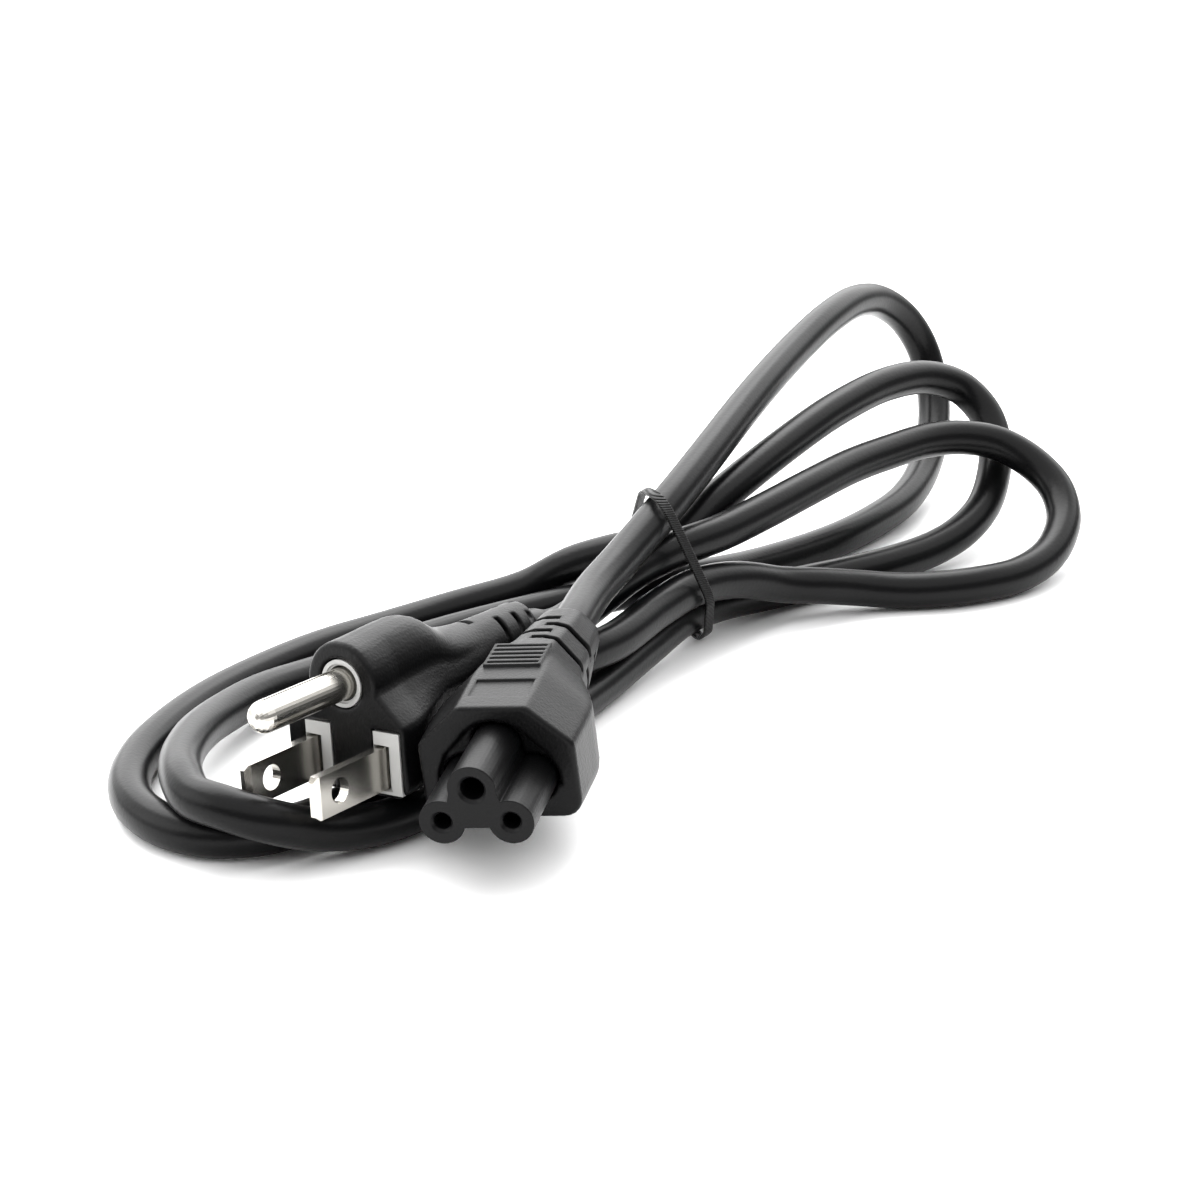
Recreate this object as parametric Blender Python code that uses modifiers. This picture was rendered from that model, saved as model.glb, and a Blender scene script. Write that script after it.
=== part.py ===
"""A laptop power cord: a coiled cable with a three-pin plug and a three-lobed connector, held by a tie."""

import math

import bmesh
import bpy
from mathutils import Euler, Vector

MM = 0.001

# Driving dimensions, in millimetres
CORD_D = 6.5
GAP = 0.3
PIN_SPAN = 12.7
BLADE_W = 6.35
BLADE_T = 1.52
BLADE_OUT = 15.5
BLADE_HOLE_D = 3.8
BLADE_HOLE_AT = 10.2
EARTH_T = 11.9
EARTH_D = 4.8
EARTH_OUT = 19.2
PIN_IN = 9.0
PLUG_HALF = 10.9
PLUG_TOP = 18.1
PLUG_LOW = -4.5
PLUG_RELIEF_END = 47.0
PLUG_RELIEF_R = 3.6
PLUG_RELIEF_T = 6.7
PLUG_RELIEF_S = -2.1
HOLE_SPAN = 10.0
LOBE_R = 3.3
EARTH_LOBE_R = 3.5
NOSE_OUT = 13.1
HOUSE_HALF = 11.6
HOUSE_TOP = 11.3
HOUSE_LOW = -6.1
CONN_RELIEF_END = 57.0
CONN_RELIEF_R = 5.3
CONN_RELIEF_T = 2.9
GRIP_FROM = 26.3
GRIP_TO = 33.7
GRIP_HALF = 4.3
GRIP_RISE = 0.65
LABEL_FROM = 17.0
LABEL_TO = 22.2
PATCH_RIM = 0.96
TIE_W = 1.7
TIE_THICK = 0.6

# The row's origin in the frame that the poses and the route are given in
ORIGIN = Vector((-16.03, -65.88, 0.0))

# Poses: heading, pitch and roll in degrees, and the point that local zero sits on
PLUG_POSE = (34.5, 2.0, 5.0, (-36.8, -100.3, 11.5))
CONN_POSE = (12.5, -4.0, 6.1, (-17.1, -122.6, 12.0))

# The cable's route, chosen by hand, from the connector to the plug
ROUTE = [
    (-1, -49, 19.5), (3.5, -38, 21), (13.5, -18, 26.5), (28, 17, 33.5), (36.5, 37, 36.5),
    (44, 53, 38.5), (50.5, 66, 38.5), (56, 75, 36), (61.5, 80.5, 31), (65.5, 82, 24.5),
    (67.5, 79, 17), (67, 71, 10.5), (64, 59.5, 6), (59, 46.5, 4), (53, 36, 3.5), (45, 24.5, 3.5),
    (37, 16, 3.5), (27, 5, 4.5), (15.5, -8.5, 7), (3.5, -15, 7), (-12, -21.5, 5.5),
    (-25, -28.5, 4.5), (-36, -37, 4), (-46, -46.5, 4), (-54, -57, 5), (-59, -68.5, 6),
    (-61.5, -80, 7.5), (-62, -93, 9), (-60.5, -103, 10), (-58, -109.5, 10), (-53.5, -113, 10),
    (-47.5, -114, 8.5), (-41, -110.5, 5.5), (-34.5, -106.5, 4), (-28.5, -101, 3.4), (-22, -92, 3.3),
    (-15, -79.5, 3.5), (-7.5, -65.5, 3.5), (0, -50.5, 3.5), (7.5, -36, 4.5), (14.5, -23, 5.4),
    (21, -13, 4.3), (28.5, -6, 3.5), (36, -1, 3.5), (43.5, 3.5, 3.5), (53, 10, 3.5), (61.5, 17, 4),
    (67.5, 23, 5.5), (72, 29.5, 8), (74.5, 36, 11.5), (75.5, 42, 16), (74, 47, 21),
    (69.5, 49, 25.5), (62.5, 46, 28.5), (54, 38, 29.5), (44.5, 26.5, 28.5), (36, 15, 26.5),
    (20, -7, 21), (12, -15.5, 16.5), (3, -15, 14.5), (-5, -13.5, 11.5), (-13, -13, 7),
    (-25, -16.5, 4.5), (-36.5, -24, 3.5), (-47, -33.5, 3.5), (-56, -45, 3.5), (-63, -56.5, 3.5),
    (-68, -69, 3.5), (-70.5, -80, 3.5), (-70.5, -90, 3.5), (-68, -98.5, 3.5), (-63, -105, 3.5),
    (-56.5, -108.5, 3.5), (-49.5, -108, 3.5), (-42.5, -103, 3.3), (-35, -94.5, 3.3),
    (-27.5, -83.5, 3.3), (-20.5, -72, 5), (-12, -62.5, 8.5), (-4, -56, 10.5), (2.5, -48, 10.5),
    (10, -35, 11.5), (16.5, -26, 12), (24, -18.5, 10.5), (31.5, -12.5, 7.5), (39, -9, 6),
    (46, -6, 4.5), (53.5, -4.5, 3.5), (61, -3.5, 3.5), (68, -1, 3.5), (75, 3.5, 3.5), (81, 10, 4.5),
    (84.5, 16.5, 6.5), (86, 22.5, 9), (85, 28, 12.5), (81, 32, 16), (75, 34, 19), (68, 33, 20.5),
    (61, 29.5, 21), (53.5, 22.5, 21), (45.5, 13.5, 21), (37.5, 3, 20.5), (29, -7.5, 19.5),
    (20.5, -17, 18.5), (12.5, -24.5, 18), (5.5, -31, 16.5), (-1.5, -39, 13.5), (-5.5, -46, 13),
    (-8.5, -53.5, 14.5),
]

for stale in list(bpy.data.objects):
    bpy.data.objects.remove(stale)

HOME = bpy.data.collections.new("laptop power cord")
bpy.context.scene.collection.children.link(HOME)
TOOLS = bpy.data.collections.new("cutters")
bpy.context.scene.collection.children.link(TOOLS)


def material(name, colour, rough, metal=0.0):
    made = bpy.data.materials.new(name)
    made.use_nodes = True
    shader = made.node_tree.nodes["Principled BSDF"]
    shader.inputs["Base Color"].default_value = (*colour, 1.0)
    shader.inputs["Roughness"].default_value = rough
    shader.inputs["Metallic"].default_value = metal
    return made


def link(name, mesh, parent=None, look=None, cutter=False):
    obj = bpy.data.objects.new(name, mesh)
    (TOOLS if cutter else HOME).objects.link(obj)
    if cutter:
        obj.hide_render = True
        obj.display_type = "WIRE"
    if look:
        obj.data.materials.append(look)
    if parent:
        obj.parent = parent
    return obj


def from_bmesh(name, bm, **kw):
    bmesh.ops.recalc_face_normals(bm, faces=bm.faces)
    mesh = bpy.data.meshes.new(name)
    bm.to_mesh(mesh)
    bm.free()
    return link(name, mesh, **kw)


def place(s, t, back):
    """A local point: s to the right and t up on the face, and back behind it."""
    return Vector((s, back, t)) * MM


def loft(name, rings, **kw):
    """A closed body through rings of equal length, each a list of local points."""
    bm = bmesh.new()
    rows = [[bm.verts.new(p) for p in ring] for ring in rings]
    count = len(rows[0])
    for near, far in zip(rows, rows[1:]):
        for i in range(count):
            j = (i + 1) % count
            bm.faces.new((near[i], near[j], far[j], far[i]))
    bm.faces.new(rows[0])
    bm.faces.new(rows[-1])
    return from_bmesh(name, bm, **kw)


def prism(name, outline, near, far, **kw):
    """An outline of (s, t) points, drawn from one depth to another."""
    return loft(name, [[place(s, t, back) for s, t in outline] for back in (near, far)], **kw)


def rectangle(s0, s1, t0, t1):
    return [(s0, t0), (s1, t0), (s1, t1), (s0, t1)]


def circle(s, t, r, count=32):
    turns = [2 * math.pi * k / count for k in range(count)]
    return [(s + r * math.cos(turn), t + r * math.sin(turn)) for turn in turns]


def boolean(obj, other, how="DIFFERENCE"):
    step = obj.modifiers.new(other.name, "BOOLEAN")
    step.operation = how
    step.solver = "EXACT"
    step.object = other


def bevel(obj, width, segments=2):
    step = obj.modifiers.new("edges", "BEVEL")
    step.width = width * MM
    step.segments = segments
    step.limit_method = "ANGLE"
    step.angle_limit = math.radians(40)


def posed(name, pose):
    heading, pitch, roll, point = pose
    empty = bpy.data.objects.new(name, None)
    HOME.objects.link(empty)
    empty.rotation_mode = "YXZ"
    empty.rotation_euler = Euler((-math.radians(pitch), -math.radians(roll), -math.radians(heading)), "YXZ")
    empty.location = (Vector(point) - ORIGIN) * MM
    return empty


def world(empty, s, t, back):
    """The same local point in the row frame, in millimetres."""
    turn = empty.rotation_euler.to_matrix()
    return (turn @ place(s, t, back) + empty.location) / MM


def arc(cx, cy, r, a0, a1, count):
    turns = [math.radians(a0 + (a1 - a0) * k / (count - 1)) for k in range(count)]
    return [(cx + r * math.cos(turn), cy + r * math.sin(turn)) for turn in turns]


def both_sides(right):
    """A whole outline from its right half, which runs from bottom to top and stops short of the middle."""
    return right + [(-s, t) for s, t in reversed(right)]


def section(outline, low, high, step, waist=None):
    """One ring: the face outline scaled to fit, blended by keep with an oval."""
    back, keep, wide, t_low, t_high, oval_s, oval_h, oval_t, inset, lean = step
    ring = []
    for s, t in outline:
        share = (t - low) / (high - low)
        narrow = wide
        if waist is not None:
            rise = min(1.0, max(0.0, (t - waist[0]) / (waist[1] - waist[0])))
            narrow = wide + (max(wide, waist[2]) - wide) * rise
        fit_t = t_low + (t_high - t_low) * share
        angle = math.atan2(t - (low + high) / 2, s * 1.0)
        flat = Vector((s * narrow, fit_t))
        oval = Vector((oval_s * math.cos(angle), oval_t + oval_h * math.sin(angle)))
        point = flat * keep + oval * (1 - keep)
        middle = Vector((0.0, t_low + (t_high - t_low) / 2))
        if inset:
            point -= (point - middle).normalized() * inset
        ring.append(place(point.x + lean, point.y, back))
    return ring


def finer(steps, parts=3):
    """The steps with more of them between, on a smooth curve through each value."""
    found = []
    for i, (here, there) in enumerate(zip(steps, steps[1:])):
        found.append(here)
        span = there[0] - here[0]
        if span < 2.0:
            continue
        before = steps[i - 1]
        after = steps[min(i + 2, len(steps) - 1)]
        for k in range(1, parts):
            x = k / parts
            row = [here[0] + span * x]
            for c in range(1, len(here)):
                slope_in = span * (there[c] - before[c]) / (there[0] - before[0])
                slope_out = span * (after[c] - here[c]) / (after[0] - here[0])
                rise = there[c] - here[c]
                bend = x * (1 - x) * ((1 - x) * (slope_in - rise) - x * (slope_out - rise))
                row.append(here[c] + rise * x + bend)
            found.append(tuple(row))
    found.append(steps[-1])
    return found


def slot(name, parent, centre_t, inner, outer, a0, a1, near, far):
    """A cutter for one flex slot: a slice of a ring about the cable's axis."""
    steps = max(4, int(abs(a1 - a0) / 12))
    rim = arc(0, centre_t, outer, a0, a1, steps)
    hub = arc(0, centre_t, inner, a1, a0, steps)
    return prism(name, rim + hub, near, far, parent=parent, cutter=True)


# Looks
black_pvc = material("housing", (0.028, 0.028, 0.03), 0.5)
cable_pvc = material("cable", (0.03, 0.03, 0.032), 0.38)
core_pvc = material("core", (0.022, 0.022, 0.024), 0.45)
grey_plastic = material("insert", (0.72, 0.72, 0.7), 0.45)
nickel = material("nickel", (0.74, 0.71, 0.66), 0.22, 1.0)
tie_black = material("tie", (0.02, 0.02, 0.02), 0.4)

# Plug
plug = posed("plug pose", PLUG_POSE)
shoulder_t = 6.4
neck_t = 11.2
neck_s = 6.25
right_half = [(0.4 * PLUG_HALF, PLUG_LOW), (0.6 * PLUG_HALF, PLUG_LOW)]
right_half += arc(PLUG_HALF - 2.3, PLUG_LOW + 2.3, 2.3, -90, 0, 6)
right_half += [(PLUG_HALF, 1.0), (PLUG_HALF, 4.0), (PLUG_HALF, shoulder_t - 0.6)]
right_half += [(PLUG_HALF - 0.25, shoulder_t + 0.2), (PLUG_HALF - 0.9, shoulder_t + 0.9)]
right_half += [(PLUG_HALF - 1.9, 8.3), (PLUG_HALF - 2.9, 9.2), (PLUG_HALF - 3.7, 10.0), (neck_s + 0.25, 10.7)]
right_half += arc(0, EARTH_T, PLUG_TOP - EARTH_T, -4, 82, 10)
plug_outline = both_sides(right_half)
plug_steps = [
    # back, keep, wide, t_low, t_high, oval_s, oval_h, oval_t, inset, lean
    (0.0, 1.0, 1.0, PLUG_LOW, PLUG_TOP, 5, 5, 7, 0.5, 0.0),
    (0.15, 1.0, 1.0, PLUG_LOW, PLUG_TOP, 5, 5, 7, 0.22, 0.0),
    (0.5, 1.0, 1.0, PLUG_LOW, PLUG_TOP + 0.05, 5, 5, 7, 0.0, 0.0),
    (3.5, 1.0, 0.99, PLUG_LOW, 18.25, 5, 5, 7, 0.0, 0.0),
    (6.5, 1.0, 0.92, -4.3, 18.45, 5, 5, 7, 0.0, 0.0),
    (10.0, 1.0, 0.79, -3.8, 18.6, 5, 5, 7, 0.0, 0.0),
    (13.5, 1.0, 0.67, -3.1, 18.55, 5, 5, 7, 0.0, 0.0),
    (16.0, 0.96, 0.6, -2.5, 18.1, 6.2, 6.2, 7.4, 0.0, 0.0),
    (18.4, 0.85, 0.56, -2.0, 16.9, 6.1, 6.1, 7.4, 0.0, 0.0),
    (21.0, 0.68, 0.53, -1.0, 15.6, 6.0, 6.0, 7.4, 0.0, 0.0),
    (24.5, 0.42, 0.5, 0.2, 14.6, 5.8, 6.0, 7.4, 0.0, 0.0),
    (28.0, 0.2, 0.48, 1.0, 14.0, 5.4, 5.9, 7.4, 0.0, 0.0),
    (32.0, 0.0, 0.46, 1.4, 13.2, 5.0, 5.7, 7.6, 0.0, 0.0),
    (37.0, 0.0, 0.45, 1.4, 13.2, 4.5, 5.3, 7.8, 0.0, -0.3),
    (42.0, 0.0, 0.45, 1.4, 13.2, 4.3, 5.0, 7.8, 0.0, -1.0),
    (PLUG_RELIEF_END - 1.6, 0.0, 0.45, 1.4, 13.2, 4.1, 4.7, 7.6, 0.0, -1.8),
    (PLUG_RELIEF_END - 0.4, 0.0, 0.45, 1.4, 13.2, PLUG_RELIEF_R + 0.2, 4.1, 7.2, 0.0, PLUG_RELIEF_S),
    (PLUG_RELIEF_END, 0.0, 0.45, 1.4, 13.2, PLUG_RELIEF_R - 0.2, 3.7, 7.1, 0.0, PLUG_RELIEF_S),
]
plug_rings = []
for step in finer(plug_steps):
    plug_rings.append(section(plug_outline, PLUG_LOW, PLUG_TOP, step, (5.0, 11.0, 0.93)))
plug_body = loft("plug_body", plug_rings, parent=plug, look=black_pvc)

# The pin carrier: a plate inside the body, with a ring and two rectangles that reach the face
PLATE = (2.0, 4.0)
PATCH = (-3.9, 5.5)
RING_R = 3.6
patch_left = BLADE_T / 2 + 0.35
patch_w = PLUG_HALF - PATCH_RIM - (PIN_SPAN / 2 - patch_left)
plate_right = PLUG_HALF - PATCH_RIM - 0.04
plate_left = -PIN_SPAN / 2 - patch_left - 0.14
blade_s = {"line": -PIN_SPAN / 2, "neutral": PIN_SPAN / 2}
plate_outline = [
    (plate_left, -3.9), (plate_right, -3.9), (plate_right, 5.5), (3.4, 9.2),
    (2.6, 14.4), (-2.6, 14.4), (-3.4, 9.2), (plate_left, 5.5),
]
grown_outline = [
    (plate_left - GAP, -3.9 - GAP), (plate_right + GAP, -3.9 - GAP), (plate_right + GAP, 5.7), (3.75, 9.4),
    (2.9, 14.7), (-2.9, 14.7), (-3.75, 9.4), (plate_left - GAP, 5.7),
]
insert = prism("plug_insert", plate_outline, PLATE[0], PLATE[1], parent=plug, look=grey_plastic)
plate_room = prism("cut plate", grown_outline, PLATE[0] - GAP, PLATE[1] + GAP, parent=plug, cutter=True)
boolean(plug_body, plate_room)
ring = prism("add ring", circle(0, EARTH_T, RING_R, 48), 0.05, PLATE[1], parent=plug, cutter=True)
boolean(insert, ring, "UNION")
ring_rim = circle(0, EARTH_T, RING_R + GAP, 48)
ring_room = prism("cut ring", ring_rim, -2, PLATE[1] + GAP, parent=plug, cutter=True)
boolean(plug_body, ring_room)
for side, s in blade_s.items():
    box = rectangle(s - patch_left, s - patch_left + patch_w, PATCH[0], PATCH[1])
    big = rectangle(s - patch_left - GAP, s - patch_left + patch_w + GAP, PATCH[0] - GAP, PATCH[1] + GAP)
    boolean(insert, prism("add patch " + side, box, 0.05, PLATE[1], parent=plug, cutter=True), "UNION")
    boolean(plug_body, prism("cut patch " + side, big, -2, PLATE[1] + GAP, parent=plug, cutter=True))
    step = rectangle(s - BLADE_T / 2 - 0.1, s + BLADE_T / 2 + 1.1, -3.45, 3.45)
    boolean(insert, prism("cut step " + side, step, -1, 0.75, parent=plug, cutter=True))
step_rim = circle(0, EARTH_T, EARTH_D / 2 + 0.6, 40)
ring_step = prism("cut ring step", step_rim, -1, 0.35, parent=plug, cutter=True)
boolean(insert, ring_step)

# Pins, each in its own pocket that runs from the face into the body
for side, s in blade_s.items():
    half = BLADE_W / 2
    tip = -BLADE_OUT
    bm = bmesh.new()
    bmesh.ops.create_cube(bm, size=1.0)
    for v in bm.verts:
        v.co = place(s + v.co.x * BLADE_T, v.co.z * BLADE_W, tip + (v.co.y + 0.5) * (BLADE_OUT + PIN_IN))
    blade = from_bmesh("blade_" + side, bm, parent=plug, look=nickel)
    for turn in (-1, 1):
        wedge = [
            place(s - 3, turn * (half + 0.5), tip - 1.0),
            place(s - 3, turn * (half + 0.5), tip + 1.4),
            place(s - 3, turn * (half - 1.5), tip - 1.0),
        ]
        other = [p + Vector((6 * MM, 0, 0)) for p in wedge]
        boolean(blade, loft("cut tip %s %d" % (side, turn), [wedge, other], parent=plug, cutter=True))
        bevel_tip = [
            place(s + turn * (BLADE_T / 2 + 0.3), -5, tip - 0.5),
            place(s + turn * (BLADE_T / 2 + 0.3), -5, tip + 2.0),
            place(s + turn * 0.2, -5, tip - 0.5),
        ]
        other = [p + Vector((0, 0, 10 * MM)) for p in bevel_tip]
        boolean(blade, loft("cut lead %s %d" % (side, turn), [bevel_tip, other], parent=plug, cutter=True))
    hole = [place(s - 3, r[0], -BLADE_HOLE_AT + r[1]) for r in circle(0, 0, BLADE_HOLE_D / 2, 28)]
    far_hole = [p + Vector((6 * MM, 0, 0)) for p in hole]
    boolean(blade, loft("cut hole " + side, [hole, far_hole], parent=plug, cutter=True))
    pocket = rectangle(s - BLADE_T / 2 - GAP, s + BLADE_T / 2 + GAP, -half - GAP, half + GAP)
    through = prism("cut pocket " + side, pocket, -1, PIN_IN + GAP, parent=plug, cutter=True)
    boolean(insert, through)
    boolean(plug_body, through)

earth_r = EARTH_D / 2
rounds = [(0.06, -EARTH_OUT)]
for angle in (15, 30, 45, 60, 75, 90):
    turn = math.radians(angle)
    rounds.append((earth_r * math.sin(turn), -EARTH_OUT + earth_r * (1 - math.cos(turn))))
rounds += [(earth_r, PIN_IN)]
ground_pin = loft(
    "ground_pin",
    [[place(s, t, back) for s, t in circle(0, EARTH_T, r, 32)] for r, back in rounds],
    parent=plug,
    look=nickel,
)
seam = rectangle(-0.16, 0.16, EARTH_T + earth_r - 0.45, EARTH_T + earth_r + 1)
boolean(ground_pin, prism("cut seam", seam, -EARTH_OUT + 2.2, -1.2, parent=plug, cutter=True))
earth_rim = circle(0, EARTH_T, earth_r + GAP, 32)
earth_pocket = prism("cut earth pocket", earth_rim, -1, PIN_IN + GAP, parent=plug, cutter=True)
boolean(insert, earth_pocket)
boolean(plug_body, earth_pocket)

# Flex slots in the plug's strain relief
plug_slots = [(29.2, 78, 102, 5.2), (29.2, 258, 282, 5.2)]
for back, inner in ((34.8, 4.0), (39.3, 3.7)):
    plug_slots += [(back, a0, a0 + 62, inner) for a0 in (12, 106, 192, 286)]
plug_slots += [(43.4, a0, a0 + 62, 3.4) for a0 in (12, 106)]
for number, (back, a0, a1, inner) in enumerate(plug_slots):
    tool = slot("cut plug slot %d" % number, plug, 7.4, inner, 12, a0, a1, back, back + 1.3)
    boolean(plug_body, tool)

# Connector
conn = posed("connector pose", CONN_POSE)
right_half = [(0.35 * HOUSE_HALF, HOUSE_LOW), (0.6 * HOUSE_HALF, HOUSE_LOW)]
right_half += arc(HOUSE_HALF - 2.8, HOUSE_LOW + 2.8, 2.8, -90, 0, 6)
right_half += [(HOUSE_HALF, 0.5)]
right_half += arc(HOUSE_HALF - 2.0, 4.64, 2.0, 0, 47, 4)
right_half += arc(4.5, HOUSE_TOP - 1.5, 1.5, 47, 90, 4)
right_half += [(2.0, HOUSE_TOP)]
house_outline = both_sides(right_half)
house_steps = [
    # back, keep, wide, t_low, t_high, oval_s, oval_h, oval_t, inset, lean
    (NOSE_OUT, 1.0, 1.0, HOUSE_LOW, HOUSE_TOP, 5, 5, 3, 0.4, 0.0),
    (NOSE_OUT + 0.12, 1.0, 1.0, HOUSE_LOW, HOUSE_TOP, 5, 5, 3, 0.16, 0.0),
    (NOSE_OUT + 0.4, 1.0, 1.0, HOUSE_LOW, HOUSE_TOP, 5, 5, 3, 0.0, 0.0),
    (20.0, 1.0, 1.01, HOUSE_LOW, HOUSE_TOP + 0.1, 5, 5, 3, 0.0, 0.0),
    (25.0, 1.0, 1.0, HOUSE_LOW, HOUSE_TOP + 0.2, 5, 5, 3, 0.0, 0.0),
    (29.0, 1.0, 0.9, -5.9, HOUSE_TOP + 0.2, 5, 5, 3, 0.0, 0.0),
    (33.0, 0.97, 0.76, -5.4, HOUSE_TOP + 0.1, 7, 7, 3.2, 0.0, 0.0),
    (36.5, 0.8, 0.64, -4.8, 10.9, 7, 7.4, 3.1, 0.0, 0.0),
    (40.0, 0.5, 0.57, -4.3, 10.3, 6.6, 7.2, 3.0, 0.0, 0.0),
    (44.0, 0.35, 0.55, -3.8, 9.7, 6.3, 6.7, 2.9, 0.0, 0.0),
    (48.0, 0.25, 0.53, -3.3, 9.1, 6.0, 6.1, 2.9, 0.0, 0.0),
    (52.0, 0.15, 0.5, -2.7, 8.5, 5.7, 5.5, 2.9, 0.0, 0.0),
    (CONN_RELIEF_END - 0.6, 0.1, 0.46, -1.9, 7.7, CONN_RELIEF_R, 4.8, 2.9, 0.0, 0.0),
    (CONN_RELIEF_END, 0.1, 0.46, -1.9, 7.7, CONN_RELIEF_R, 4.8, 2.9, 0.5, 0.0),
]
house_rings = []
for step in finer(house_steps):
    house_rings.append(section(house_outline, HOUSE_LOW, HOUSE_TOP, step))
connector_body = loft("connector_body", house_rings, parent=conn, look=black_pvc)

# The nose: three round lobes with a web between them, in a pocket that is wider by the gap
POCKET = 4.0
half_span = HOLE_SPAN / 2


def lobes(name, grow, near, far, cutter, look=None):
    left_rim = circle(-half_span, 0, LOBE_R + grow, 40)
    right_rim = circle(half_span, 0, LOBE_R + grow, 40)
    top_rim = circle(0, half_span, EARTH_LOBE_R + grow, 40)
    first = prism(name, left_rim, near, far, parent=conn, look=look, cutter=cutter)
    second = prism(name + " right", right_rim, near, far, parent=conn, cutter=True)
    third = prism(name + " top", top_rim, near, far, parent=conn, cutter=True)
    foot = 5.0 + grow
    head = 2.9 + 1.2 * grow
    middle = [(-foot, -0.9 - grow), (foot, -0.9 - grow), (head, 6.4), (-head, 6.4)]
    web = prism(name + " web", middle, near, far, parent=conn, cutter=True)
    for other in (second, third, web):
        boolean(first, other, "UNION")
    return first


core = lobes("connector_core", 0.0, 0.0, NOSE_OUT + POCKET, False, core_pvc)
boolean(connector_body, lobes("cut nose", GAP, NOSE_OUT - 3, NOSE_OUT + POCKET + GAP, True))
moat = [
    (-9.2, -1.0), (9.2, -1.0), (8.9, 1.3), (7.6, 4.0), (5.9, 5.6), (4.2, 7.5), (2.2, 8.8), (0, 9.2),
    (-2.2, 8.8), (-4.2, 7.5), (-5.9, 5.6), (-7.6, 4.0), (-8.9, 1.3),
]
boolean(connector_body, prism("cut moat", moat, NOSE_OUT - 3, NOSE_OUT + 1.0, parent=conn, cutter=True))
bores = (("line", -half_span, 0, 1.25), ("neutral", half_span, 0, 1.25), ("earth", 0, half_span, 1.7))
for name, s, t, r in bores:
    boolean(core, prism("cut bore " + name, circle(s, t, r, 28), -2, 10.0, parent=conn, cutter=True))
    mouth = []
    for radius, back in ((r + 0.55, -0.1), (r - 0.1, 0.55)):
        mouth.append([place(p[0], p[1], back) for p in circle(s, t, radius, 28)])
    boolean(core, loft("cut mouth " + name, mouth, parent=conn, cutter=True))

# Label recess, grip grooves and flex slots on the connector
label = rectangle(0.1 - GRIP_HALF, 0.3 + GRIP_HALF, HOUSE_TOP - 0.2, HOUSE_TOP + 3)
boolean(connector_body, prism("cut label", label, LABEL_FROM, LABEL_TO, parent=conn, cutter=True))
pad_top = HOUSE_TOP + GRIP_RISE
pad_face = rectangle(-GRIP_HALF, GRIP_HALF, HOUSE_TOP - 1, pad_top)
pad = prism("add grip", pad_face, GRIP_FROM, GRIP_TO, parent=conn, cutter=True)
boolean(connector_body, pad, "UNION")
for number in range(5):
    back = GRIP_FROM + 0.5 + (GRIP_TO - GRIP_FROM - 1.72) / 4 * number
    groove = rectangle(0.4 - GRIP_HALF, GRIP_HALF - 0.4, HOUSE_TOP - 0.05, pad_top + 1)
    tool = prism("cut groove %d" % number, groove, back, back + 0.65, parent=conn, cutter=True)
    boolean(connector_body, tool)
for number, (back, a0, a1, inner) in enumerate([
    (39.2, 9, 96, 5.2), (42.8, 76, 168, 5.0), (42.8, -38, 2, 5.0), (46.4, 2, 93, 4.8), (50.0, 78, 168, 4.5),
    (50.0, -50, -6, 4.5), (39.2, 190, 272, 5.2), (46.4, 190, 272, 4.6),
]):
    tool = slot("cut relief slot %d" % number, conn, CONN_RELIEF_T, inner, 14, a0, a1, back, back + 1.7)
    boolean(connector_body, tool)


# Cable
def smooth(points, per_span=16):
    """A centripetal curve through the points."""
    knots = [2 * points[0] - points[1], *points, 2 * points[-1] - points[-2]]
    found = []
    for i in range(1, len(knots) - 2):
        p = knots[i - 1 : i + 3]
        t = [0.0]
        for a, b in zip(p, p[1:]):
            t.append(t[-1] + (b - a).length ** 0.5)
        for k in range(per_span):
            x = t[1] + (t[2] - t[1]) * k / per_span
            a1 = p[0] * ((t[1] - x) / (t[1] - t[0])) + p[1] * ((x - t[0]) / (t[1] - t[0]))
            a2 = p[1] * ((t[2] - x) / (t[2] - t[1])) + p[2] * ((x - t[1]) / (t[2] - t[1]))
            a3 = p[2] * ((t[3] - x) / (t[3] - t[2])) + p[3] * ((x - t[2]) / (t[3] - t[2]))
            b1 = a1 * ((t[2] - x) / (t[2] - t[0])) + a2 * ((x - t[0]) / (t[2] - t[0]))
            b2 = a2 * ((t[3] - x) / (t[3] - t[1])) + a3 * ((x - t[1]) / (t[3] - t[1]))
            found.append(b1 * ((t[2] - x) / (t[2] - t[1])) + b2 * ((x - t[1]) / (t[2] - t[1])))
    found.append(points[-1].copy())
    return found


def thinned(line, most_turn=17.0, longest=17.0):
    """The points of the line at which it has turned enough, or run far enough."""
    kept = [line[0]]
    turned = 0.0
    run = 0.0
    for before, here, after in zip(line, line[1:], line[2:]):
        turned += math.degrees((here - before).angle(after - here, 0.0))
        run += (here - before).length
        if turned >= most_turn or run >= longest:
            kept.append(here)
            turned = 0.0
            run = 0.0
    if (kept[-1] - line[-1]).length < 4:
        kept.pop()
    kept.append(line[-1])
    return kept


def length_of(line):
    return sum((b - a).length for a, b in zip(line, line[1:]))


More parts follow.
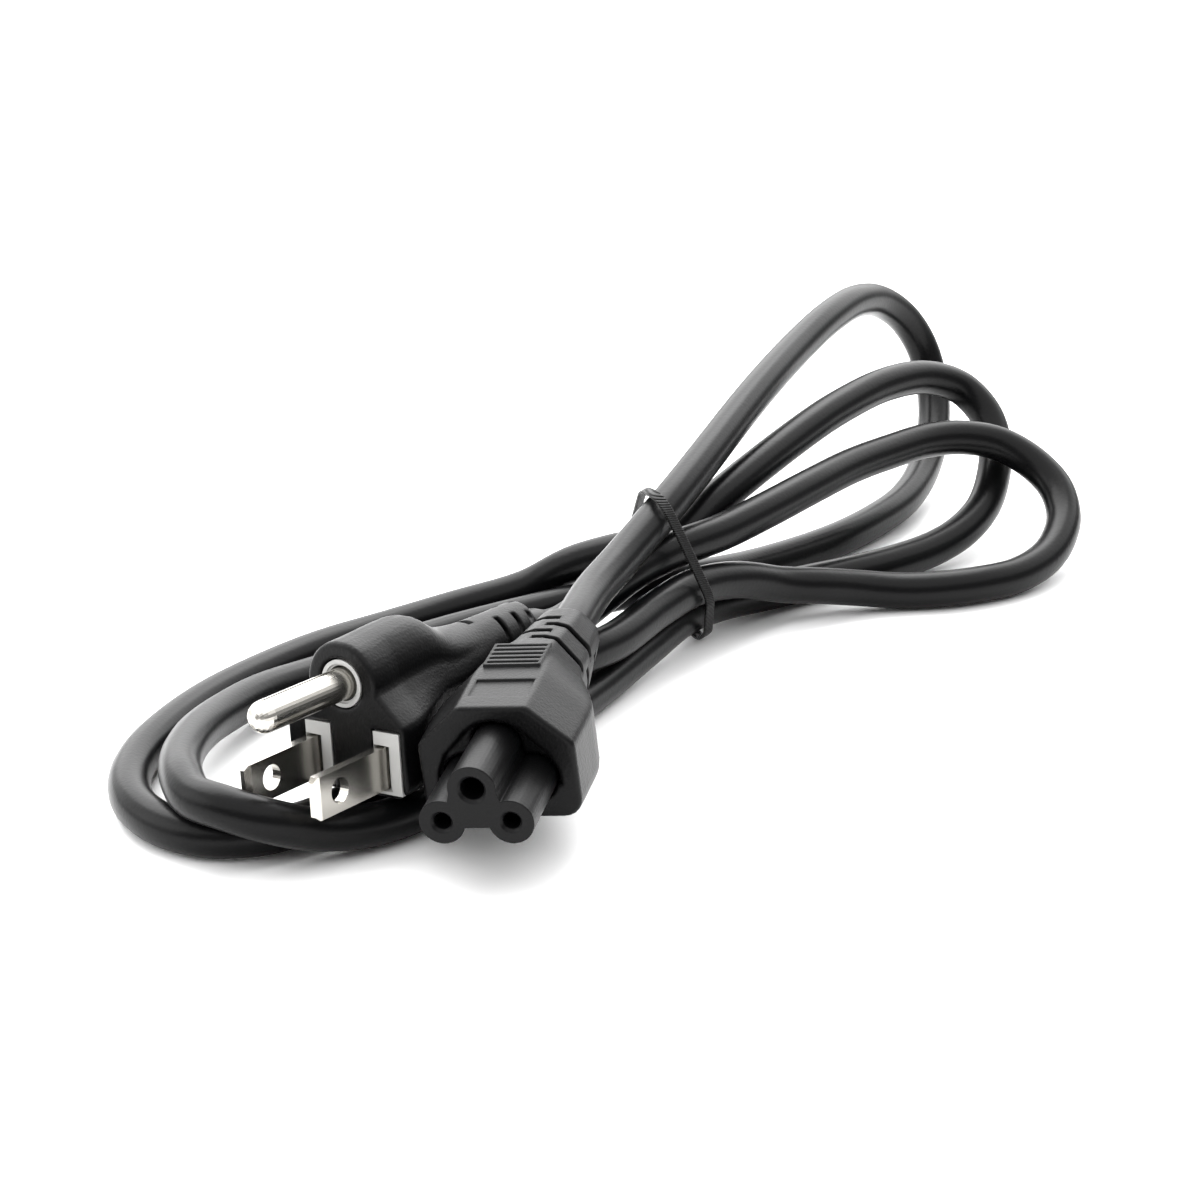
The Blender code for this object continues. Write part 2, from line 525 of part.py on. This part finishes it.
begin = world(conn, 0, CONN_RELIEF_T, CONN_RELIEF_END + GAP)
finish = world(plug, PLUG_RELIEF_S, PLUG_RELIEF_T, PLUG_RELIEF_END + GAP)
leave = world(conn, 0, CONN_RELIEF_T, CONN_RELIEF_END + 4)
arrive = world(plug, PLUG_RELIEF_S, PLUG_RELIEF_T, PLUG_RELIEF_END + 2.5)
route = [begin, leave, *[Vector(p) - ORIGIN for p in ROUTE], arrive, finish]
line = smooth(route)
cable_points = [begin, *thinned(smooth(route[1:-1])), finish]
curve = bpy.data.curves.new("cord", "CURVE")
curve.dimensions = "3D"
curve.bevel_depth = CORD_D / 2 * MM
curve.bevel_resolution = 3
curve.use_fill_caps = True
spline = curve.splines.new("POLY")
spline.points.add(len(cable_points) - 1)
for point, at in zip(spline.points, cable_points):
    point.co = (*(at * MM), 1.0)
cord = link("cord", curve, look=cable_pvc)
print("cable: %.0f mm" % length_of(line))

# Tie: a flat band round the strands where they cross its plane
TIE_AT = Vector((12.85, -22.95, 14.9)) - ORIGIN
TIE_NORMAL = Vector((0.835, 0.425, 0.354)).normalized()
across = TIE_NORMAL.cross(Vector((0, 0, 1))).normalized()
upward = across.cross(TIE_NORMAL).normalized()
crossing = []
for at in smooth(route, 40):
    off = at - TIE_AT
    if abs(off.dot(TIE_NORMAL)) < TIE_W / 2 + 0.9 and off.length < 26:
        crossing.append((off.dot(across), off.dot(upward)))
reach = CORD_D / 2 + GAP + 0.45
hull = []
for k in range(72):
    angle = 2 * math.pi * k / 72
    face = (math.cos(angle), math.sin(angle))
    hull.append(max(a * face[0] + b * face[1] for a, b in crossing) + reach)
band = []
for k in range(72):
    a0 = 2 * math.pi * k / 72
    a1 = 2 * math.pi * (k + 1) / 72
    h0 = hull[k]
    h1 = hull[(k + 1) % 72]
    det = math.sin(a1 - a0)
    corner_a = (h0 * math.sin(a1) - h1 * math.sin(a0)) / det
    corner_b = (h1 * math.cos(a0) - h0 * math.cos(a1)) / det
    band.append((corner_a, corner_b))
merged = []
for p in band:
    if not merged or math.hypot(p[0] - merged[-1][0], p[1] - merged[-1][1]) > 0.25:
        merged.append(p)
bm = bmesh.new()
loops = []
count = len(merged)
for k, (a, b) in enumerate(merged):
    pa, pb = merged[k - 1], merged[(k + 1) % count]
    way = Vector((pb[0] - pa[0], pb[1] - pa[1])).normalized()
    out = Vector((way.y, -way.x))
    rows = []
    for depth, side in ((0, -1), (0, 1), (TIE_THICK, 1), (TIE_THICK, -1)):
        x, y = a + out.x * depth, b + out.y * depth
        where = TIE_AT + across * x + upward * y + TIE_NORMAL * (side * TIE_W / 2)
        rows.append(bm.verts.new(where * MM))
    loops.append(rows)
for k in range(count):
    here, there = loops[k], loops[(k + 1) % count]
    for c in range(4):
        d = (c + 1) % 4
        bm.faces.new((here[c], here[d], there[d], there[c]))
tie = from_bmesh("twist_tie", bm, look=tie_black)
bevel(tie, 0.18, 2)
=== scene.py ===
"""The looks of the laptop power cord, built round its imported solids."""

import math

import bpy
from mathutils import Euler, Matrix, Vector

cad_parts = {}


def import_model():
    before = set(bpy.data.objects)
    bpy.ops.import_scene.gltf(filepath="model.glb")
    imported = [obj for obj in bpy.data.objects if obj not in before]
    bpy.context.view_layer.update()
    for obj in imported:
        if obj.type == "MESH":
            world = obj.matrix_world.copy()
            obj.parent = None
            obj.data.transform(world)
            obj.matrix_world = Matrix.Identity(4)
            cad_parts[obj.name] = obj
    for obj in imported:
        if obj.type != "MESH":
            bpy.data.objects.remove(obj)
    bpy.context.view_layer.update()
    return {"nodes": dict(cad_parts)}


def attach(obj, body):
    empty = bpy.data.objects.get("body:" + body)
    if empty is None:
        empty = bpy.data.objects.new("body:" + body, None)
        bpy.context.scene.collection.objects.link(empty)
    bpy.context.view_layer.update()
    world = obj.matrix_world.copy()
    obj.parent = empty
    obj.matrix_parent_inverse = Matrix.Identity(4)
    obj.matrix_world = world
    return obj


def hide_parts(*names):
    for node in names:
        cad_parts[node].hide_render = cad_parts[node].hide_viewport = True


MM = 0.001
CORD_D = 6.5
GAP = 0.3
ORIGIN = Vector((-16.03, -65.88, 0.0))
PLUG_POSE = (34.5, 2.0, 5.0, (-36.8, -100.3, 11.5))
CONN_POSE = (12.5, -4.0, 6.1, (-17.1, -122.6, 12.0))

# Where the cable leaves each strain relief: sideways, up and back, in millimetres
PLUG_EXIT = (-2.1, 6.7, 47.0)
CONN_EXIT = (0, 2.9, 57.0)

# How far the cable runs straight out of each relief before the route takes over
PLUG_LEAD = 2.5
CONN_LEAD = 4
STEPS_PER_SPAN = 5
TUBE_RESOLUTION = 8

# The camera chosen for the photograph, which fixes its pitch and distance only loosely
CAMERA_AT = Vector((0.0, -488.6, 177.9))
CAMERA_TILT = 70.0
LENS = 87.0
SENSOR = 36.0
NEAREST = 0.01

# Faces that meet at less than this angle, in degrees, are shaded as one surface
SMOOTH_UP_TO = 32
BUMP_DEPTH = 0.0003
FLOOR_SIDE = 6.0
FLOOR_AT = (0, 1.0, 0.0)
EDGE_SAMPLES = 8
WORLD_LIGHT = 0.4

# The cable's route, listed as part.py has it, in millimetres
ROUTE = [
    (-1, -49, 19.5), (3.5, -38, 21), (13.5, -18, 26.5), (28, 17, 33.5), (36.5, 37, 36.5),
    (44, 53, 38.5), (50.5, 66, 38.5), (56, 75, 36), (61.5, 80.5, 31), (65.5, 82, 24.5),
    (67.5, 79, 17), (67, 71, 10.5), (64, 59.5, 6), (59, 46.5, 4), (53, 36, 3.5), (45, 24.5, 3.5),
    (37, 16, 3.5), (27, 5, 4.5), (15.5, -8.5, 7), (3.5, -15, 7), (-12, -21.5, 5.5),
    (-25, -28.5, 4.5), (-36, -37, 4), (-46, -46.5, 4), (-54, -57, 5), (-59, -68.5, 6),
    (-61.5, -80, 7.5), (-62, -93, 9), (-60.5, -103, 10), (-58, -109.5, 10), (-53.5, -113, 10),
    (-47.5, -114, 8.5), (-41, -110.5, 5.5), (-34.5, -106.5, 4), (-28.5, -101, 3.4), (-22, -92, 3.3),
    (-15, -79.5, 3.5), (-7.5, -65.5, 3.5), (0, -50.5, 3.5), (7.5, -36, 4.5), (14.5, -23, 5.4),
    (21, -13, 4.3), (28.5, -6, 3.5), (36, -1, 3.5), (43.5, 3.5, 3.5), (53, 10, 3.5), (61.5, 17, 4),
    (67.5, 23, 5.5), (72, 29.5, 8), (74.5, 36, 11.5), (75.5, 42, 16), (74, 47, 21),
    (69.5, 49, 25.5), (62.5, 46, 28.5), (54, 38, 29.5), (44.5, 26.5, 28.5), (36, 15, 26.5),
    (20, -7, 21), (12, -15.5, 16.5), (3, -15, 14.5), (-5, -13.5, 11.5), (-13, -13, 7),
    (-25, -16.5, 4.5), (-36.5, -24, 3.5), (-47, -33.5, 3.5), (-56, -45, 3.5), (-63, -56.5, 3.5),
    (-68, -69, 3.5), (-70.5, -80, 3.5), (-70.5, -90, 3.5), (-68, -98.5, 3.5), (-63, -105, 3.5),
    (-56.5, -108.5, 3.5), (-49.5, -108, 3.5), (-42.5, -103, 3.3), (-35, -94.5, 3.3),
    (-27.5, -83.5, 3.3), (-20.5, -72, 5), (-12, -62.5, 8.5), (-4, -56, 10.5), (2.5, -48, 10.5),
    (10, -35, 11.5), (16.5, -26, 12), (24, -18.5, 10.5), (31.5, -12.5, 7.5), (39, -9, 6),
    (46, -6, 4.5), (53.5, -4.5, 3.5), (61, -3.5, 3.5), (68, -1, 3.5), (75, 3.5, 3.5), (81, 10, 4.5),
    (84.5, 16.5, 6.5), (86, 22.5, 9), (85, 28, 12.5), (81, 32, 16), (75, 34, 19), (68, 33, 20.5),
    (61, 29.5, 21), (53.5, 22.5, 21), (45.5, 13.5, 21), (37.5, 3, 20.5), (29, -7.5, 19.5),
    (20.5, -17, 18.5), (12.5, -24.5, 18), (5.5, -31, 16.5), (-1.5, -39, 13.5), (-5.5, -46, 13),
    (-8.5, -53.5, 14.5),
]

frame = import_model()
nodes = frame["nodes"]


def place(s, t, back):
    """A point from its distances sideways, up and back."""
    return Vector((s, back, t))


def turned(pose):
    """The rotation of a pose, from its heading, pitch and roll."""
    heading, pitch, roll, _ = pose
    return Euler((-math.radians(pitch), -math.radians(roll), -math.radians(heading)), "YXZ").to_matrix()


def world(pose, s, t, back):
    """A local point of the plug or the connector, in the row frame, in millimetres."""
    return turned(pose) @ place(s, t, back) + Vector(pose[3]) - ORIGIN


# Camera
camera_data = bpy.data.cameras.new("camera")
camera_data.lens = LENS
camera_data.sensor_width = SENSOR
camera_data.clip_start = NEAREST
camera = bpy.data.objects.new("camera", camera_data)
camera.location = (CAMERA_AT - ORIGIN) * MM
camera.rotation_euler = (math.radians(CAMERA_TILT), 0.0, 0.0)
bpy.context.scene.collection.objects.link(camera)
bpy.context.scene.camera = camera


def smooth(points, per_span):
    """Points along a centripetal curve through the given ones."""
    knots = [2 * points[0] - points[1], *points, 2 * points[-1] - points[-2]]
    found = []
    for i in range(1, len(knots) - 2):
        p = knots[i - 1 : i + 3]
        t = [0.0]
        for a, b in zip(p, p[1:]):
            t.append(t[-1] + (b - a).length ** 0.5)
        for k in range(per_span):
            x = t[1] + (t[2] - t[1]) * k / per_span
            a1 = p[0] * ((t[1] - x) / (t[1] - t[0])) + p[1] * ((x - t[0]) / (t[1] - t[0]))
            a2 = p[1] * ((t[2] - x) / (t[2] - t[1])) + p[2] * ((x - t[1]) / (t[2] - t[1]))
            a3 = p[2] * ((t[3] - x) / (t[3] - t[2])) + p[3] * ((x - t[2]) / (t[3] - t[2]))
            b1 = a1 * ((t[2] - x) / (t[2] - t[0])) + a2 * ((x - t[0]) / (t[2] - t[0]))
            b2 = a2 * ((t[3] - x) / (t[3] - t[1])) + a3 * ((x - t[1]) / (t[3] - t[1]))
            found.append(b1 * ((t[2] - x) / (t[2] - t[1])) + b2 * ((x - t[1]) / (t[2] - t[1])))
    found.append(points[-1].copy())
    return found


# The cable, from the connector's relief to the plug's
begin = world(CONN_POSE, *CONN_EXIT[:2], CONN_EXIT[2] + GAP)
leave = world(CONN_POSE, *CONN_EXIT[:2], CONN_EXIT[2] + CONN_LEAD)
arrive = world(PLUG_POSE, *PLUG_EXIT[:2], PLUG_EXIT[2] + PLUG_LEAD)
finish = world(PLUG_POSE, *PLUG_EXIT[:2], PLUG_EXIT[2] + GAP)
route = [leave, *[Vector(p) - ORIGIN for p in ROUTE], arrive]
line = [begin, *smooth(route, STEPS_PER_SPAN), finish]
curve = bpy.data.curves.new("cable", "CURVE")
curve.dimensions = "3D"
curve.bevel_depth = 1.0
curve.bevel_resolution = TUBE_RESOLUTION
curve.use_fill_caps = True
spline = curve.splines.new("POLY")
spline.points.add(len(line) - 1)
# The points carry the radius and the bevel is 1, so that the curve's box fits the tube
for point, at in zip(spline.points, line):
    point.co = (*(at * MM), 1.0)
    point.radius = CORD_D / 2 * MM
spline.use_smooth = True
cable = bpy.data.objects.new("cable", curve)
bpy.context.scene.collection.objects.link(cable)
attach(cable, "root")
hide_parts("cord")


def material(name, colour, rough, metal=0.0, gloss=0.5):
    made = bpy.data.materials.new(name)
    made.use_nodes = True
    shader = made.node_tree.nodes["Principled BSDF"]
    shader.inputs["Base Color"].default_value = (*colour, 1.0)
    shader.inputs["Roughness"].default_value = rough
    shader.inputs["Metallic"].default_value = metal
    shader.inputs["Specular IOR Level"].default_value = gloss
    return made


def bumped(made, pattern, scale, strength, rounding=0.0):
    """Shallow relief from a texture on object coordinates, over slightly rounded edges."""
    tree = made.node_tree
    where = tree.nodes.new("ShaderNodeTexCoord")
    pattern_node = tree.nodes.new(pattern)
    pattern_node.inputs["Scale"].default_value = scale
    bump = tree.nodes.new("ShaderNodeBump")
    bump.inputs["Strength"].default_value = strength
    bump.inputs["Distance"].default_value = BUMP_DEPTH
    tree.links.new(where.outputs["Object"], pattern_node.inputs["Vector"])
    tree.links.new(pattern_node.outputs["Fac"], bump.inputs["Height"])
    tree.links.new(bump.outputs["Normal"], tree.nodes["Principled BSDF"].inputs["Normal"])
    if rounding:
        edge = tree.nodes.new("ShaderNodeBevel")
        edge.samples = EDGE_SAMPLES
        edge.inputs["Radius"].default_value = rounding
        tree.links.new(edge.outputs["Normal"], bump.inputs["Normal"])
    return pattern_node


def grain(made, scale, strength, rounding=0.0):
    """Fine moulded grain."""
    bumped(made, "ShaderNodeTexNoise", scale, strength, rounding)


cable_look = material("cable pvc", (0.002, 0.002, 0.0022), 0.3, gloss=0.13)
grain(cable_look, 1500.0, 0.08)
housing_look = material("moulded pvc", (0.002, 0.002, 0.0022), 0.38, gloss=0.14)
grain(housing_look, 2200.0, 0.2, rounding=0.0009)
core_look = material("core pvc", (0.002, 0.002, 0.0022), 0.4, gloss=0.14)
grain(core_look, 2200.0, 0.12, rounding=0.0003)
insert_look = material("insert plastic", (0.42, 0.42, 0.41), 0.5, gloss=0.3)
nickel_look = material("nickel plate", (0.54, 0.52, 0.48), 0.24, 1.0)
grain(nickel_look, 500.0, 0.03)
tie_look = material("tie plastic", (0.002, 0.002, 0.002), 0.35, gloss=0.16)
ribs = bumped(tie_look, "ShaderNodeTexWave", 900.0, 0.8)
ribs.bands_direction = "Z"

curve.materials.append(cable_look)
LOOKS = {
    "plug_body": housing_look,
    "connector_body": housing_look,
    "connector_core": core_look,
    "plug_insert": insert_look,
    "ground_pin": nickel_look,
    "blade_line": nickel_look,
    "blade_neutral": nickel_look,
    "twist_tie": tie_look,
}
for name, look in LOOKS.items():
    node = nodes[name]
    if not node.material_slots:
        node.data.materials.append(look)
    for holder in node.material_slots:
        holder.material = look

# Smooth shading up to an edge angle
for name in LOOKS:
    mesh = nodes[name].data
    mesh.shade_smooth()
    mesh.set_sharp_from_angle(angle=math.radians(SMOOTH_UP_TO))

# Floor, light and background
bpy.ops.mesh.primitive_plane_add(size=FLOOR_SIDE, location=FLOOR_AT)
floor = bpy.context.object
floor.name = "floor"
floor_look = material("floor", (0.93, 0.93, 0.93), 0.7)
floor.data.materials.append(floor_look)

world_look = bpy.data.worlds.new("studio")
bpy.context.scene.world = world_look
world_look.use_nodes = True
back = world_look.node_tree.nodes["Background"]
back.inputs["Color"].default_value = (1.0, 1.0, 1.0, 1.0)
back.inputs["Strength"].default_value = WORLD_LIGHT


def area(name, place_m, target_m, size, power):
    """A soft panel of that size in metres and power in watts, turned towards a point."""
    lamp = bpy.data.lights.new(name, "AREA")
    lamp.shape = "RECTANGLE"
    lamp.size, lamp.size_y = size
    lamp.energy = power
    obj = bpy.data.objects.new(name, lamp)
    obj.location = place_m
    obj.rotation_euler = (Vector(target_m) - Vector(place_m)).to_track_quat("-Z", "Y").to_euler()
    bpy.context.scene.collection.objects.link(obj)


# A broad soft sky, leaning to the back, and three soft panels
sun = bpy.data.lights.new("softbox sky", "SUN")
sun.energy = 5.2
sun.angle = math.radians(140)
sky = bpy.data.objects.new("softbox sky", sun)
sky.rotation_euler = (math.radians(-14), math.radians(-8), 0.0)
bpy.context.scene.collection.objects.link(sky)
area("overhead", (-0.1, 0.35, 0.6), (0, 0.05, 0), (0.9, 0.5), 8.0)
area("left panel", (-0.7, -0.15, 0.3), (0, -0.1, 0), (0.6, 0.5), 1.6)
area("back panel", (0.1, 1.0, 0.55), (0, 0, 0), (2.0, 0.8), 10.0)
bpy.context.scene.view_settings.view_transform = "Standard"

bpy.context.view_layer.update()
